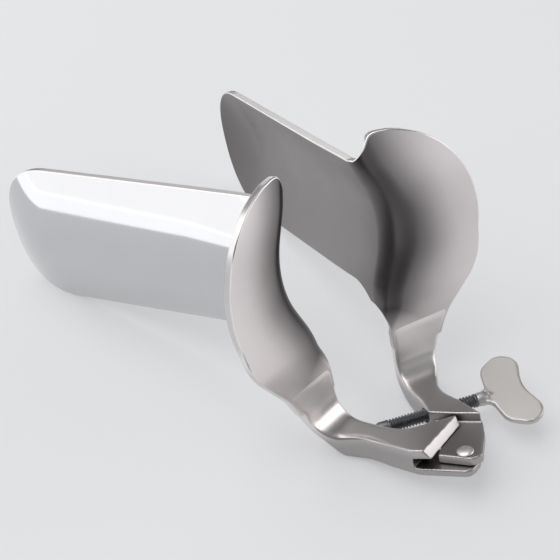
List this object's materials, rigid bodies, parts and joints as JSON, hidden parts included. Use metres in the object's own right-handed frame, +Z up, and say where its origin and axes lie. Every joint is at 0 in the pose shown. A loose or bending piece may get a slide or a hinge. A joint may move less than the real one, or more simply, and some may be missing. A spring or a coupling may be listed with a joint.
{
  "type": "bivalve speculum",
  "caption": "Self-retaining bivalve speculum: two hinged blades with flared lips, spread by a side thumbscrew.",
  "frame": {"origin": "on the surface that the speculum lies on, under the middle of its bounding box", "axes": "+Y from the hinge towards the blade tips, +X towards the valve that carries the screw, +Z up from the table"},
  "size_m": [0.082, 0.1532, 0.0689],
  "materials": {
    "blade_steel": "polished stainless steel with fine lengthwise brushing",
    "arm_steel": "satin stainless steel with softly rounded edges",
    "rivet_steel": "peened stainless steel head",
    "screw_steel": "turned steel with a rolled thread, darker than the rest",
    "wing_steel": "matt blasted stainless steel with braze at its root"
  },
  "bodies": {
    "right_valve": {"right_blade": "blade_steel", "right_arm": "arm_steel", "hinge_rivet": "rivet_steel"},
    "left_valve": {"left_blade": "blade_steel", "left_arm": "arm_steel"},
    "screw_foot": {"swivel_foot": "screw_steel"},
    "thumbscrew": {"screw_spindle": "screw_steel", "wing_head": "wing_steel"}
  },
  "joints": [
    {"name": "blade_hinge", "type": "hinge", "parent": "right_valve", "child": "left_valve", "pos_m": [0, -0.07332, 0.00681], "axis": [0, 0.2697, 0.9629], "range_deg": [-29.5, 5]},
    {"name": "screw_feed", "type": "slide", "parent": "right_valve", "child": "screw_foot", "axis": [-0.9063, 0.407, -0.114], "range_m": [-0.01388, 0.00252]},
    {"name": "screw_turn", "type": "hinge", "parent": "screw_foot", "child": "thumbscrew", "pos_m": [0.00511, -0.05381, 0.00477], "axis": [-0.9063, 0.407, -0.114], "range_deg": [-6173.8, 1063]}
  ],
  "couplings": [
    {"joint": "screw_feed", "follows": "blade_hinge", "m_per_rad": 0.02656},
    {"joint": "screw_turn", "follows": "blade_hinge", "ratio": 208.6}
  ]
}
